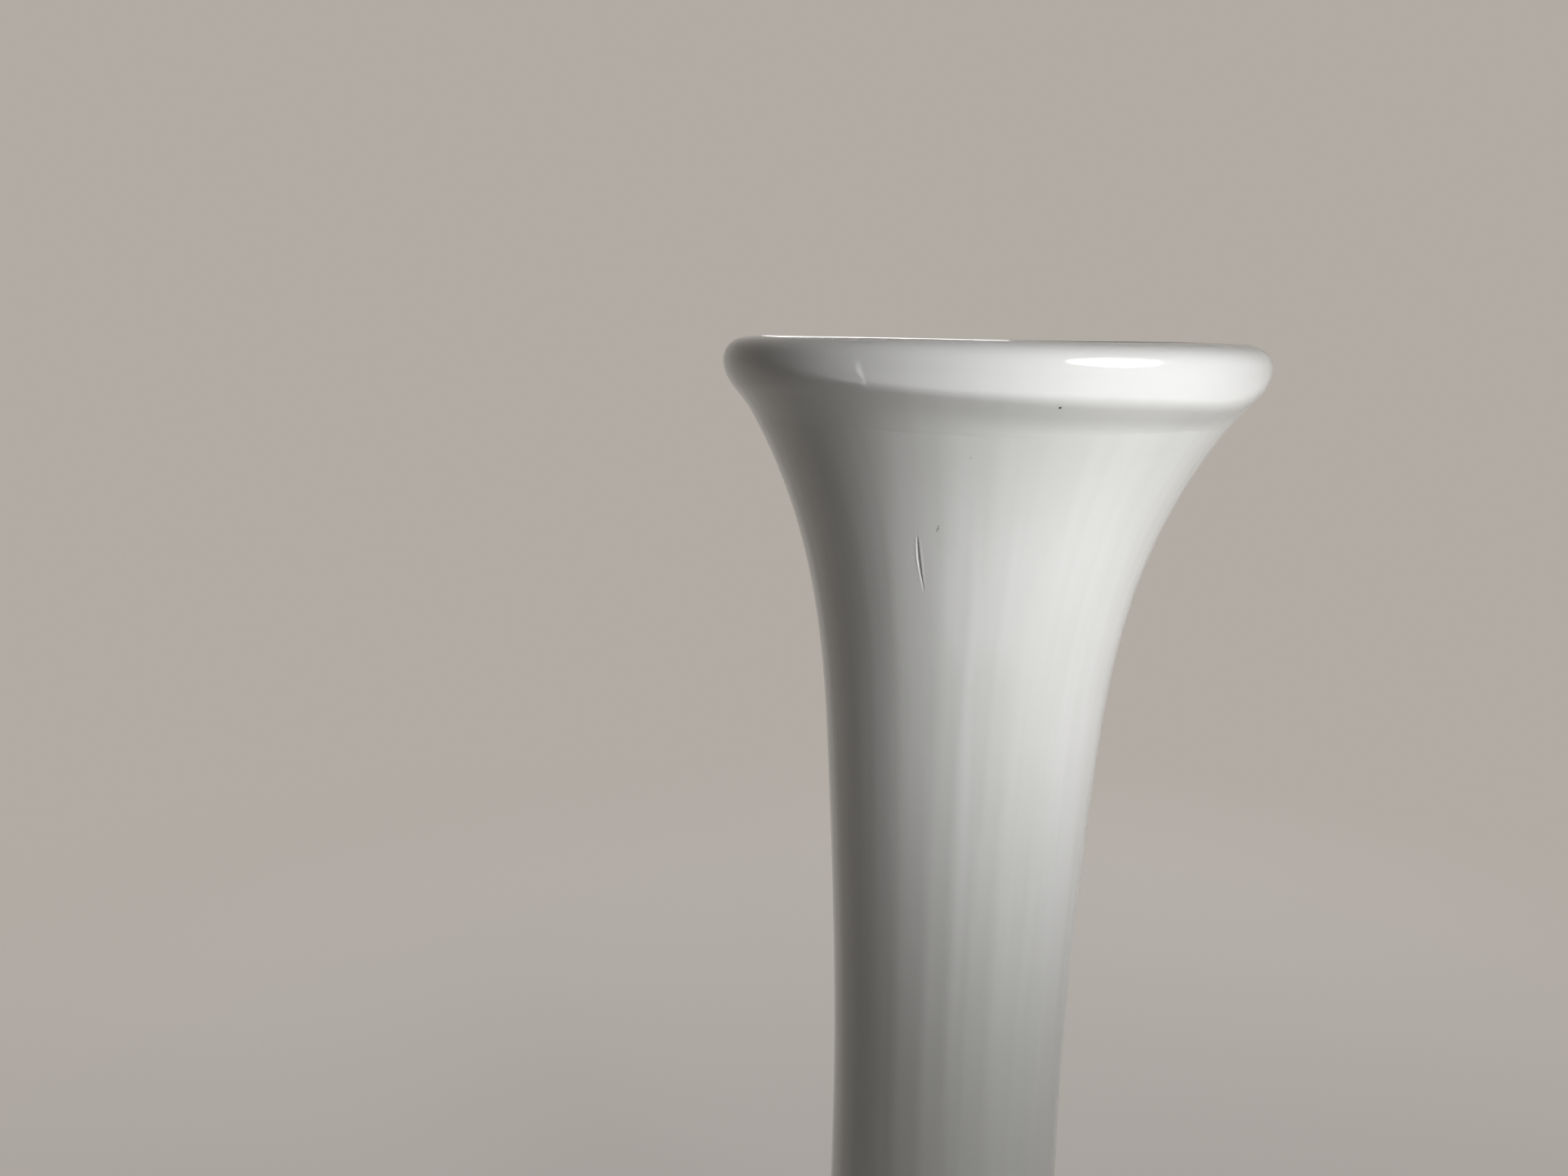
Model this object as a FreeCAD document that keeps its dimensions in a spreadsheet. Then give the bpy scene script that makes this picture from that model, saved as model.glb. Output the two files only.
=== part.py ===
import FreeCAD, Part
import os

import Sketcher

# Trumpet vase of opaque white blown glass, in millimetres.
# A blown trumpet, drawn in to a waist, stands on an applied disc foot. A thick trail of glass is wound
# once round the rim as its lip, and four clear bumpers are stuck under the foot.
# Z is the axis of the vase and points up. The origin is the middle of the circle it stands on.

# Driving sizes: name, value in millimetres, what it measures
SIZES = [
    ("total_height", 470, "from the table to the top of the lip"),
    ("mouth_diameter", 150, "outside of the lip, its widest circle"),
    ("lip_overhang", 5.6, "how far the lip stands out past the trumpet under it"),
    ("lip_shoulder", 10, "from the lip's widest circle in to the circle where it is highest"),
    ("lip_bead", 2.1, "how far the lip stands in past the trumpet's inside"),
    ("lip_height", 16.6, "from the trumpet's end face to the top of the lip"),
    ("lip_swell_height", 9.4, "from the trumpet's end face to the lip's widest circle"),
    ("rim_wall", 6.5, "width of the trumpet's end face, which the lip sits on"),
    ("waist_diameter", 72.1, "narrowest outside of the trumpet"),
    ("waist_height", 232, "from the table to the waist"),
    ("neck_wall", 4, "thickness of the glass at the waist"),
    ("base_wall", 6, "thickness of the glass beside the floor"),
    ("base_diameter", 96, "outside of the trumpet where it joins the foot"),
    ("floor_thickness", 16.8, "solid glass under the inside of the trumpet"),
    ("foot_overhang", 12, "how far the foot stands out past the trumpet's base"),
    ("foot_height", 12.4, "from the foot's ring up to the trumpet"),
    ("foot_edge", 7, "thickness of the foot's rounded edge"),
    ("foot_ring_width", 12.5, "flat ring under the foot"),
    ("foot_hollow", 3, "rise of the foot's underside inside the ring"),
    ("punty_mark_diameter", 24, "ground dish where the punty iron was cut off"),
    ("punty_mark_depth", 1.2, "depth of that dish"),
    ("bumper_diameter", 9.5, "outside of a bumper"),
    ("bumper_height", 1.8, "from the table up to the foot's ring"),
    ("bumper_round", 0.6, "rounding of a bumper's lower edge"),
]

BUMPER_COUNT = 4
FULL_TURN = 360
# The first bumper stands this share of a step round from the X axis.
BUMPER_START_SHARE = 0.5

# Radii and levels worked out from the driving sizes
AXIS = "0"
MOUTH_RADIUS = "Sizes.mouth_diameter / 2"
RIM_RADIUS = "(Sizes.mouth_diameter / 2 - Sizes.lip_overhang)"
RIM_BORE = f"({RIM_RADIUS} - Sizes.rim_wall)"
LIP_CREST_RADIUS = "(Sizes.mouth_diameter / 2 - Sizes.lip_shoulder)"
LIP_BORE = f"({RIM_BORE} - Sizes.lip_bead)"
WAIST_RADIUS = "Sizes.waist_diameter / 2"
WAIST_BORE = "(Sizes.waist_diameter / 2 - Sizes.neck_wall)"
BASE_RADIUS = "Sizes.base_diameter / 2"
BASE_BORE = "(Sizes.base_diameter / 2 - Sizes.base_wall)"
FOOT_RADIUS = "(Sizes.base_diameter / 2 + Sizes.foot_overhang)"
RING_RADIUS = f"({FOOT_RADIUS} - Sizes.foot_edge / 2)"
RING_BORE = f"({RING_RADIUS} - Sizes.foot_ring_width)"
RING_MIDDLE = f"({RING_RADIUS} - Sizes.foot_ring_width / 2)"
PUNTY_MARK_RADIUS = "Sizes.punty_mark_diameter / 2"
BUMPER_RADIUS = "Sizes.bumper_diameter / 2"

TABLE_LEVEL = "0"
BUMPER_ROUND_LEVEL = "Sizes.bumper_round"
RING_LEVEL = "Sizes.bumper_height"
FOOT_EDGE_MIDDLE = "(Sizes.bumper_height + Sizes.foot_edge / 2)"
FOOT_EDGE_TOP = "(Sizes.bumper_height + Sizes.foot_edge)"
HOLLOW_LEVEL = "(Sizes.bumper_height + Sizes.foot_hollow)"
PUNTY_MARK_LEVEL = "(Sizes.bumper_height + Sizes.foot_hollow + Sizes.punty_mark_depth)"
FOOT_TOP = "(Sizes.bumper_height + Sizes.foot_height)"
FLOOR_LEVEL = "(Sizes.bumper_height + Sizes.foot_height + Sizes.floor_thickness)"
WAIST_LEVEL = "Sizes.waist_height"
RIM_LEVEL = "(Sizes.total_height - Sizes.lip_height)"
LIP_SWELL_LEVEL = "(Sizes.total_height - Sizes.lip_height + Sizes.lip_swell_height)"
LIP_TOP = "Sizes.total_height"

# Control points of the curves between two corners of an outline. Each pair is the share of the way
# across and the share of the way up or down.
FLARE_SHARES = [(0, 0), (0, 0.083), (0.025, 0.25), (0.11, 0.5), (0.225, 0.75), (0.63, 0.917), (1, 1)]
SKIRT_SHARES = [(0, 0), (0, 0.167), (0.167, 0.5), (0.667, 0.833), (1, 1)]
LINING_SHARES = [(0, 0), (0, 0.18), (0.13, 0.54), (0.66, 0.86), (1, 1)]
LINING_CORNER_SHARE = 0.45
LIP_UNDERSIDE_SHARES = [(0, 0), (0.4, 0.28), (1, 0.66), (1, 1)]
LIP_SHOULDER_SHARES = [(0, 0), (0, 0.6), (0.25, 1), (1, 1)]
LIP_CREST_SHARES = [(0, 0), (0.6, 0), (1, 0.45), (1, 1)]
LIP_INSIDE_SHARES = [(0, 0), (0, 0.45), (0.5, 0.8), (1, 1)]
FOOT_SWEEP_SHARES = [(0, 0), (0.5, 0), (0.92, 0.35), (1, 1)]
HOLLOW_SHARES = [(0, 0), (0.3, 0.9), (0.6, 1), (1, 1)]
QUARTER_ROUND_SHARES = [(0, 0), (0, 0.55), (0.45, 1), (1, 1)]

# How a sketch numbers its origin, its upright axis, the ends of a line and the middle of a circle,
# and the degree and weight of the curves
SKETCH_ORIGIN = (-1, 1)
UPRIGHT_AXIS_INDEX = -2
LINE_START_INDEX = 1
LINE_END_INDEX = 2
CIRCLE_MIDDLE_INDEX = 3
CURVE_DEGREE = 3
CONTROL_WEIGHT = 1

doc = FreeCAD.newDocument("trumpet_vase")


def write_sizes():
    """Put the driving sizes into the sheet that every outline reads."""
    sheet = doc.addObject("Spreadsheet::Sheet", "Sizes")
    for row, (name, value, meaning) in enumerate(SIZES, start=1):
        sheet.set(f"A{row}", name)
        sheet.set(f"B{row}", str(value))
        sheet.set(f"C{row}", meaning)
        sheet.setAlias(f"B{row}", name)
    doc.recompute()


def curve_between(start, end, shares):
    """Control points from one corner of an outline to another, each given as shares of the way."""
    points = []
    for across, along in shares:
        out = f"{start[0]} + {across} * ({end[0]} - {start[0]})"
        up = f"{start[1]} + {along} * ({end[1]} - {start[1]})"
        points.append((out, up))
    return [start] + points[1:-1] + [end]


def backwards(points):
    return points[::-1]


def new_sketch(body, name):
    """A sketch on the body's own upright plane through its axis."""
    sketch = body.newObject("Sketcher::SketchObject", name)
    plane = next(feature for feature in body.Origin.OriginFeatures if feature.Role == "XZ_Plane")
    sketch.AttachmentSupport = [(plane, "")]
    sketch.MapMode = "FlatFace"
    doc.recompute()
    return sketch


def hold_point(sketch, handle, point):
    """Tie a point of the sketch to its distance from the axis and its level."""
    out, up = point
    if out == AXIS:
        sketch.addConstraint(Sketcher.Constraint("PointOnObject", *handle, UPRIGHT_AXIS_INDEX))
    else:
        value = float(sketch.evalExpression(out))
        index = sketch.addConstraint(Sketcher.Constraint("DistanceX", *SKETCH_ORIGIN, *handle, value))
        sketch.setExpression(f"Constraints[{index}]", out)
    value = float(sketch.evalExpression(up))
    index = sketch.addConstraint(Sketcher.Constraint("DistanceY", *SKETCH_ORIGIN, *handle, value))
    sketch.setExpression(f"Constraints[{index}]", up)


def draw_line(sketch, places):
    """A straight stretch of an outline. Returns the handles of its two ends."""
    line = sketch.addGeometry(Part.LineSegment(*places), False)
    return [(line, LINE_START_INDEX), (line, LINE_END_INDEX)]


def draw_curve(sketch, places):
    """A smooth stretch of an outline. Returns the handles of its control points."""
    spans = len(places) - CURVE_DEGREE
    end_knot = [CURVE_DEGREE + 1]
    curve = Part.BSplineCurve()
    curve.buildFromPolesMultsKnots(
        places, end_knot + [1] * (spans - 1) + end_knot, list(range(spans + 1)), False, CURVE_DEGREE)
    spline = sketch.addGeometry(curve, False)
    handles = []
    for index, place in enumerate(places):
        mark = sketch.addGeometry(Part.Circle(place, FreeCAD.Vector(0, 0, 1), CONTROL_WEIGHT), True)
        sketch.addConstraint(Sketcher.Constraint("Weight", mark, CONTROL_WEIGHT))
        sketch.addConstraint(Sketcher.Constraint(
            "InternalAlignment:Sketcher::BSplineControlPoint", mark, CIRCLE_MIDDLE_INDEX, spline, index))
        handles.append((mark, CIRCLE_MIDDLE_INDEX))
    return handles


def draw_outline(sketch, runs):
    """Draw a closed outline. Each run starts where the one before it ended. Two points make a straight
    run, and more are the control points of a smooth one."""
    held = []
    for number, points in enumerate(runs):
        places = []
        for out, up in points:
            places.append(FreeCAD.Vector(sketch.evalExpression(out), sketch.evalExpression(up), 0))
        draw = draw_line if len(points) == 2 else draw_curve
        handles = draw(sketch, places)
        if number == 0:
            hold_point(sketch, handles[0], points[0])
        else:
            sketch.addConstraint(Sketcher.Constraint("Coincident", *held[-1], *handles[0]))
        for handle, point in zip(handles[1:-1], points[1:-1]):
            hold_point(sketch, handle, point)
        if number < len(runs) - 1:
            hold_point(sketch, handles[-1], points[-1])
        held.extend(handles)
    sketch.addConstraint(Sketcher.Constraint("Coincident", *held[-1], *held[0]))
    doc.recompute()


def turned_body(name, runs):
    """A body made by turning an outline once round the upright axis."""
    body = doc.addObject("PartDesign::Body", name)
    body.Label = name
    sketch = new_sketch(body, f"{name}_outline")
    draw_outline(sketch, runs)
    turning = body.newObject("PartDesign::Revolution", f"{name}_turning")
    turning.Profile = sketch
    turning.ReferenceAxis = (sketch, ["V_Axis"])
    turning.Angle = FULL_TURN
    doc.recompute()
    return body


def make_trumpet_body():
    """The blown trumpet: the joint on the foot, the skirt up to the waist, the flare up to the rim's
    end face, and the inside down to the rounded floor."""
    under_floor = (AXIS, FOOT_TOP)
    base = (BASE_RADIUS, FOOT_TOP)
    waist = (WAIST_RADIUS, WAIST_LEVEL)
    rim_outside = (RIM_RADIUS, RIM_LEVEL)
    rim_inside = (RIM_BORE, RIM_LEVEL)
    waist_inside = (WAIST_BORE, WAIST_LEVEL)
    floor_corner = (BASE_BORE, FLOOR_LEVEL)
    floor_rounding = (f"{LINING_CORNER_SHARE} * {BASE_BORE}", FLOOR_LEVEL)
    floor_middle = (AXIS, FLOOR_LEVEL)
    return turned_body("trumpet_body", [
        [under_floor, base],
        backwards(curve_between(waist, base, SKIRT_SHARES)),
        curve_between(waist, rim_outside, FLARE_SHARES),
        [rim_outside, rim_inside],
        backwards(curve_between(waist_inside, rim_inside, FLARE_SHARES)),
        curve_between(waist_inside, floor_corner, LINING_SHARES) + [floor_rounding, floor_middle],
        [floor_middle, under_floor],
    ])


def make_lip_wrap():
    """The trail of glass wound round the rim: a thick rounded section that sits on the rim's end face."""
    seat_outside = (RIM_RADIUS, RIM_LEVEL)
    swell = (MOUTH_RADIUS, LIP_SWELL_LEVEL)
    crest = (LIP_CREST_RADIUS, LIP_TOP)
    bead = (LIP_BORE, LIP_SWELL_LEVEL)
    seat_inside = (RIM_BORE, RIM_LEVEL)
    return turned_body("lip_wrap", [
        curve_between(seat_outside, swell, LIP_UNDERSIDE_SHARES),
        curve_between(swell, crest, LIP_SHOULDER_SHARES),
        curve_between(crest, bead, LIP_CREST_SHARES),
        curve_between(bead, seat_inside, LIP_INSIDE_SHARES),
        [seat_inside, seat_outside],
    ])


def make_foot():
    """The disc foot: the ground punty mark, a hollow underside, a flat ring, a rounded edge, and a top
    that sweeps up to the joint with the trumpet."""
    mark_middle = (AXIS, PUNTY_MARK_LEVEL)
    mark_edge = (PUNTY_MARK_RADIUS, HOLLOW_LEVEL)
    ring_inside = (RING_BORE, RING_LEVEL)
    ring_outside = (RING_RADIUS, RING_LEVEL)
    edge_middle = (FOOT_RADIUS, FOOT_EDGE_MIDDLE)
    edge_top = (RING_RADIUS, FOOT_EDGE_TOP)
    joint_outside = (BASE_RADIUS, FOOT_TOP)
    joint_middle = (AXIS, FOOT_TOP)
    return turned_body("foot", [
        backwards(curve_between(mark_edge, mark_middle, HOLLOW_SHARES)),
        backwards(curve_between(ring_inside, mark_edge, HOLLOW_SHARES)),
        [ring_inside, ring_outside],
        backwards(curve_between(edge_middle, ring_outside, QUARTER_ROUND_SHARES)),
        curve_between(edge_middle, edge_top, QUARTER_ROUND_SHARES),
        curve_between(edge_top, joint_outside, FOOT_SWEEP_SHARES),
        [joint_outside, joint_middle],
        [joint_middle, mark_middle],
    ])


def make_bumper(number):
    """A clear bumper: a flat disc, rounded below, stuck to the middle of the foot's ring."""
    under_middle = (AXIS, TABLE_LEVEL)
    under_edge = (f"{BUMPER_RADIUS} - {BUMPER_ROUND_LEVEL}", TABLE_LEVEL)
    side_low = (BUMPER_RADIUS, BUMPER_ROUND_LEVEL)
    side_high = (BUMPER_RADIUS, RING_LEVEL)
    top_middle = (AXIS, RING_LEVEL)
    bumper = turned_body(f"bumper_{number}", [
        [under_middle, under_edge],
        backwards(curve_between(side_low, under_edge, QUARTER_ROUND_SHARES)),
        [side_low, side_high],
        [side_high, top_middle],
        [top_middle, under_middle],
    ])
    angle = (number - 1 + BUMPER_START_SHARE) * FULL_TURN / BUMPER_COUNT
    bumper.setExpression("Placement.Base.x", f"{RING_MIDDLE} * cos({angle} deg)")
    bumper.setExpression("Placement.Base.y", f"{RING_MIDDLE} * sin({angle} deg)")
    doc.recompute()
    return bumper


def check_document(bodies):
    """Stop if any object failed or any piece isn't a sound solid."""
    for item in doc.Objects:
        if "Invalid" in item.State or "Error" in item.State:
            raise RuntimeError(f"{item.Label} failed: {item.State}")
    for body in bodies:
        shape = body.Shape
        if shape.isNull() or not shape.isValid() or len(shape.Solids) != 1:
            raise RuntimeError(f"{body.Label} is not one sound solid")


write_sizes()
pieces = [make_trumpet_body(), make_lip_wrap(), make_foot()]
for bumper_number in range(1, BUMPER_COUNT + 1):
    pieces.append(make_bumper(bumper_number))
doc.recompute()
check_document(pieces)

os.makedirs("parts", exist_ok=True)
for piece in pieces:
    piece.Shape.exportStep(f"parts/{piece.Label}.step")
    print(piece.Label, "volume in cubic millimetres:", round(piece.Shape.Volume))
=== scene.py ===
import math

import bpy
import numpy as np
from mathutils import Matrix, Vector


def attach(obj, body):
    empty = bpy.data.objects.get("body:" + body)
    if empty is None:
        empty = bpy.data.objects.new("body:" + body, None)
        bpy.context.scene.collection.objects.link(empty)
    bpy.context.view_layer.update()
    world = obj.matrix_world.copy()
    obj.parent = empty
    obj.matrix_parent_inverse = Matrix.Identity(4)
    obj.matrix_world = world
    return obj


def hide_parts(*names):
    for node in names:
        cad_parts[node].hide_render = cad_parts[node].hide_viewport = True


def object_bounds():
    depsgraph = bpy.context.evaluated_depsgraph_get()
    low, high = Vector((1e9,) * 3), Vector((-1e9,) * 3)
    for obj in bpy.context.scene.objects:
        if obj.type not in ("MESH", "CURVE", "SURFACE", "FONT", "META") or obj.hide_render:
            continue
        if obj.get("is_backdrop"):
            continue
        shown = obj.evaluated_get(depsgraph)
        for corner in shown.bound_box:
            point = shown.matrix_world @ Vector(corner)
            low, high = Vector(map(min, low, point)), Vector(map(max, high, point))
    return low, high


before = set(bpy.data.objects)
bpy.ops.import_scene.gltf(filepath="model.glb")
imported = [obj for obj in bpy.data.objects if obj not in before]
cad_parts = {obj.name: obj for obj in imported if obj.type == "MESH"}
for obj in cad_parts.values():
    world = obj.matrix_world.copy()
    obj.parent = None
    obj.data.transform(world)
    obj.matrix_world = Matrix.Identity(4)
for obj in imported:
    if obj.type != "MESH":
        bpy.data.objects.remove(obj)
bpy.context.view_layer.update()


# The blown trumpet: a gather of opaque white glass, blown, drawn out and opened by hand at the mouth.
# It is fire-polished, solid under its rounded floor and 4 mm thick at the waist. Drawing it out left
# soft upright cords, a neck that bows a little, and one seed bubble pulled to an open needle.
METRES = 0.001
TOP = 470
JOINT_LEVEL = 14.2
BASE_RADIUS = 48
WAIST_LEVEL = 232
WAIST_RADIUS = 36.05
NECK_WALL = 4
RIM_LEVEL = 453.4
RIM_RADIUS = 69.4
RIM_WALL = 6.5
FLOOR_LEVEL = 31
FLOOR_RADIUS = 42
FLOOR_ROUNDING = 18.9
FLARE_SHARES = [(0, 0), (0, 0.083), (0.025, 0.25), (0.11, 0.5), (0.225, 0.75), (0.63, 0.917), (1, 1)]
SKIRT_SHARES = [(0, 0), (0, 0.167), (0.167, 0.5), (0.667, 0.833), (1, 1)]
LINING_SHARES = [(0, 0), (0, 0.18), (0.13, 0.54), (0.66, 0.86), (1, 1)]
# Above the rim the wall runs on inside the lip, widening this much for each millimetre.
RIM_SPREAD = 0.69
RIM_RUN_ON = 20
WALL_END_LEVEL = 457
WALL_END_RADIUS = 64.8
# The soft groove over the joint with the foot
GROOVE_DEPTH = 0.3
GROOVE_LIFT = 0.6
GROOVE_WIDTH = 1.1
# Level, and how far the middle of the neck lies towards the right there
NECK_BOW = [(0, 0), (60, -0.2), (150, -1), (232, -1.8), (268, -2.1), (300, -2.3), (340, -2.4),
            (380, -2.25), (400, -2), (424, -1.4), (440, -0.75), (453, -0.1), (470, 0)]
# Slow waves of the hand: how many go round, degrees that they turn for each millimetre up, the heading
# they start from, and their height
SLOW_WAVES = [(2, 1.4, 0, 0.05), (3, -1, 60, 0.04)]
# Cords: heading, width in degrees, height
CORDS = [(-62, 4, 0.07), (-46, 4, 0.07), (-24, 4.4, 0.13), (-9.5, 4.5, 0.12), (1.5, 3.5, 0.12),
         (9.5, 2.8, 0.08), (20, 4.5, 0.18), (32, 2.8, 0.12), (46, 3.5, 0.12), (68, 4, 0.08), (90, 5, 0.08),
         (111, 4, 0.09), (131, 3, 0.06), (150, 5, 0.1), (171, 4, 0.06), (-169, 3, 0.05), (-148, 4, 0.09),
         (-125, 5, 0.07), (-104, 3, 0.06), (-84, 4, 0.07)]
# They wander by degrees over a length, rise between two levels, and lose a share of their height
# between two others.
CORD_WANDER = 1.2
CORD_WANDER_LENGTH = 55
CORD_RISE = (30, 140)
CORD_LOSS = 0.75
CORD_LOSS_LEVELS = (400, 440)
# The share of them that is left inside, and how far below the rim they rise to it
INSIDE_CORDS = 0.7
INSIDE_CORD_RISE = 25
# The open needle bubble: depth below the top, and its heading there
NEEDLE_RUN = [(47.4, -15.5), (50.4, -15.35), (54, -15.2), (57.1, -14.9), (60.2, -14.45), (62.8, -13.98),
              (65, -13.35)]
NEEDLE_START = 48.5
NEEDLE_END = 62.6
NEEDLE_HALF_WIDTH = 0.45
NEEDLE_LEFT_SHARE = 1.2
NEEDLE_RIGHT_SHARE = 0.65
NEEDLE_DEPTH = 0.36
# Powers that set where it is widest and how full its ends and its bed are
NEEDLE_SKEW = 0.85
NEEDLE_END_FULLNESS = 0.7
NEEDLE_BED_FULLNESS = 0.8
# Its hairline tail, with the depths between which it starts and ends and how deep it is for its width
HAIRLINE = 0.05
TAIL_HALF_WIDTH = 0.25
TAIL_START = (60, 61.5)
TAIL_END = (62.5, 64.5)
TAIL_STRENGTH = 1.2
# The low bank that the glass left along its edge
BANK_HEIGHT = 0.06
BANK_OFFSET = 0.15
BANK_WIDTH = 0.3
# How fine the mesh is: points along the curves, then runs of rows up the outside by the levels where
# they start and end, close together along the needle bubble, and the rows inside
SKIRT_POINTS = 300
FLARE_POINTS = 600
OUTSIDE_RUNS = [(12.8, 396, 76), (396, 428, 76), (428, 447, 12), (447, WALL_END_LEVEL, 15)]
INSIDE_ROWS = 60
LINING_ROWS = 42
# Headings crowd together where the bubble and the lap of the lip are: how many a tenth of a degree holds
# everywhere, how many more it holds in the crowd, and the crowd's middle, half width and squareness.
HEADINGS_HELD = 0.072
HEADINGS_CROWDED = 0.46
CROWD_MIDDLE = -19
CROWD_HALF_WIDTH = 9.5
CROWD_SQUARENESS = 4


def pulled_curve(points, count):
    """Places along the smooth curve that its control points pull into shape."""
    points = np.array(points, float)
    spans = len(points) - 3
    knots = np.concatenate([[0] * 3, np.arange(spans + 1), [spans] * 3])
    at = np.linspace(0, spans - 1e-9, count)
    pull = [((knots[i] <= at) & (at < knots[i + 1])).astype(float) for i in range(len(knots) - 1)]
    for degree in (1, 2, 3):
        for i in range(len(knots) - 1 - degree):
            rise, fall = knots[i + degree] - knots[i], knots[i + degree + 1] - knots[i + 1]
            before = (at - knots[i]) / rise * pull[i] if rise else 0
            after = (knots[i + degree + 1] - at) / fall * pull[i + 1] if fall else 0
            pull[i] = before + after
    return sum(share[:, None] * point for share, point in zip(pull, points))


def shared_points(start, end, shares):
    """Control points from start to end, given as shares of the way out and up."""
    return [(start[0] + out * (end[0] - start[0]), start[1] + up * (end[1] - start[1])) for out, up in shares]


def by_hand(table, at):
    """Smooth values between given pairs of place and value."""
    places, values = np.array(table, float).T
    slopes = np.gradient(values, places)
    at = np.clip(at, places[0], places[-1])
    i = np.clip(np.searchsorted(places, at) - 1, 0, len(places) - 2)
    span = places[i + 1] - places[i]
    t = (at - places[i]) / span
    ends = values[i] * (1 + 2 * t) * (1 - t) ** 2 + values[i + 1] * t * t * (3 - 2 * t)
    return ends + span * t * (1 - t) * (slopes[i] * (1 - t) - slopes[i + 1] * t)


def eased(at, start, end):
    """From 0 at start to 1 at end, with no corner."""
    t = np.clip((at - start) / (end - start), 0, 1)
    return t * t * (3 - 2 * t)


def waves_round(table, at):
    """Waves round the axis at these headings: how many go round, the heading they start from, height."""
    return sum(height * np.sin(np.radians(count * at + start)) for count, start, height in table)


def turned_piece(name, rows, closed, sharp=35):
    """A mesh from rows of points round the axis. A closed one joins its last row to its first, and the
    others end in a point on the axis at both ends. Edges are sharp from this angle on."""
    rows = np.array(rows)
    count, around = rows.shape[:2]
    points = [tuple(point * METRES) for point in rows.reshape(-1, 3)]
    faces = []
    for row in range(count if closed else count - 1):
        low, high = row * around, (row + 1) % count * around
        for i in range(around):
            j = (i + 1) % around
            faces.append((low + i, low + j, high + j, high + i))
    if not closed:
        for row, turn in ((0, 1), (count - 1, -1)):
            middle = len(points)
            points.append(tuple(rows[row].mean(0) * METRES))
            for i in range(around):
                faces.append((middle, row * around + (i + 1) % around, row * around + i)[::turn])
    mesh = bpy.data.meshes.new(name)
    mesh.from_pydata(points, [], faces)
    mesh.polygons.foreach_set("use_smooth", [True] * len(faces))
    mesh.set_sharp_from_angle(angle=math.radians(sharp))
    mesh.validate()
    piece = bpy.data.objects.new(name, mesh)
    bpy.context.scene.collection.objects.link(piece)
    return piece


def ring_points(radius, level, heading, shift=0):
    """One row of points at these headings."""
    turn = np.radians(heading)
    level = np.broadcast_to(level, heading.shape)
    return np.stack([shift + radius * np.sin(turn), -radius * np.cos(turn), level], axis=1)


waist_outside = (WAIST_RADIUS, WAIST_LEVEL)
waist_inside = (WAIST_RADIUS - NECK_WALL, WAIST_LEVEL)
skirt = pulled_curve(shared_points(waist_outside, (BASE_RADIUS, JOINT_LEVEL), SKIRT_SHARES), SKIRT_POINTS)
flare = pulled_curve(shared_points(waist_outside, (RIM_RADIUS, RIM_LEVEL), FLARE_SHARES), FLARE_POINTS)
over_rim = [(RIM_RADIUS + RIM_RUN_ON * RIM_SPREAD, RIM_LEVEL + RIM_RUN_ON)]
outside = np.concatenate([skirt[::-1], flare[1:], over_rim])
flare_inside = pulled_curve(
    shared_points(waist_inside, (RIM_RADIUS - RIM_WALL, RIM_LEVEL), FLARE_SHARES), FLARE_POINTS)
lining = pulled_curve(
    shared_points(waist_inside, (FLOOR_RADIUS, FLOOR_LEVEL), LINING_SHARES)
    + [(FLOOR_ROUNDING, FLOOR_LEVEL), (0, FLOOR_LEVEL)], LINING_ROWS)

tenths = np.linspace(-180, 180, 3601)
crowd = np.exp(-((tenths[1:] - CROWD_MIDDLE) / CROWD_HALF_WIDTH) ** CROWD_SQUARENESS)
passed = np.concatenate([[0], np.cumsum(HEADINGS_HELD + HEADINGS_CROWDED * crowd)])
heading = np.interp(np.linspace(0, passed[-1], round(passed[-1]), endpoint=False), passed, tenths)


def wall_radius(level):
    """Outside of the trumpet at a level, before the marks of the hand."""
    return np.interp(level, outside[:, 1], outside[:, 0])


def bore_radius(level):
    """Inside of the trumpet at a level above the waist."""
    return np.interp(level, flare_inside[:, 1], flare_inside[:, 0])


def cord_height(level):
    """How far the cords and the slow waves of the hand stand out round the axis at a level."""
    height = waves_round([(count, twist * level + start, stand) for count, twist, start, stand in SLOW_WAVES],
                         heading)
    strength = eased(level, *CORD_RISE) * (1 - CORD_LOSS * eased(level, *CORD_LOSS_LEVELS))
    for place, width, stand in CORDS:
        wander = CORD_WANDER * np.sin(level / CORD_WANDER_LENGTH + place)
        away = (heading - place + 180) % 360 - 180 + wander
        height = height + stand * strength * np.exp(-(away / width) ** 2)
    return height


def needle_cut(level):
    """How deep the open bubble is round the axis at a level. It is steeper on its right."""
    depth = TOP - level
    share = np.clip((depth - NEEDLE_START) / (NEEDLE_END - NEEDLE_START), 0, 1)
    swell = math.sin(math.pi * share ** NEEDLE_SKEW) ** NEEDLE_END_FULLNESS if 0 < share < 1 else 0
    tail = TAIL_HALF_WIDTH * eased(depth, *TAIL_START) * (1 - eased(depth, *TAIL_END))
    half = max(NEEDLE_HALF_WIDTH * swell, tail, HAIRLINE)
    across = np.radians(heading - by_hand(NEEDLE_RUN, depth)) * wall_radius(level)
    reach = half * np.where(across > 0, NEEDLE_RIGHT_SHARE, NEEDLE_LEFT_SHARE)
    bed = np.clip(1 - (across / reach) ** 2, 0, 1) ** NEEDLE_BED_FULLNESS
    bank = np.exp(-((np.abs(across) - half - BANK_OFFSET) / BANK_WIDTH) ** 2)
    return (NEEDLE_DEPTH * bed - BANK_HEIGHT * bank) * max(swell, TAIL_STRENGTH * tail)


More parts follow.
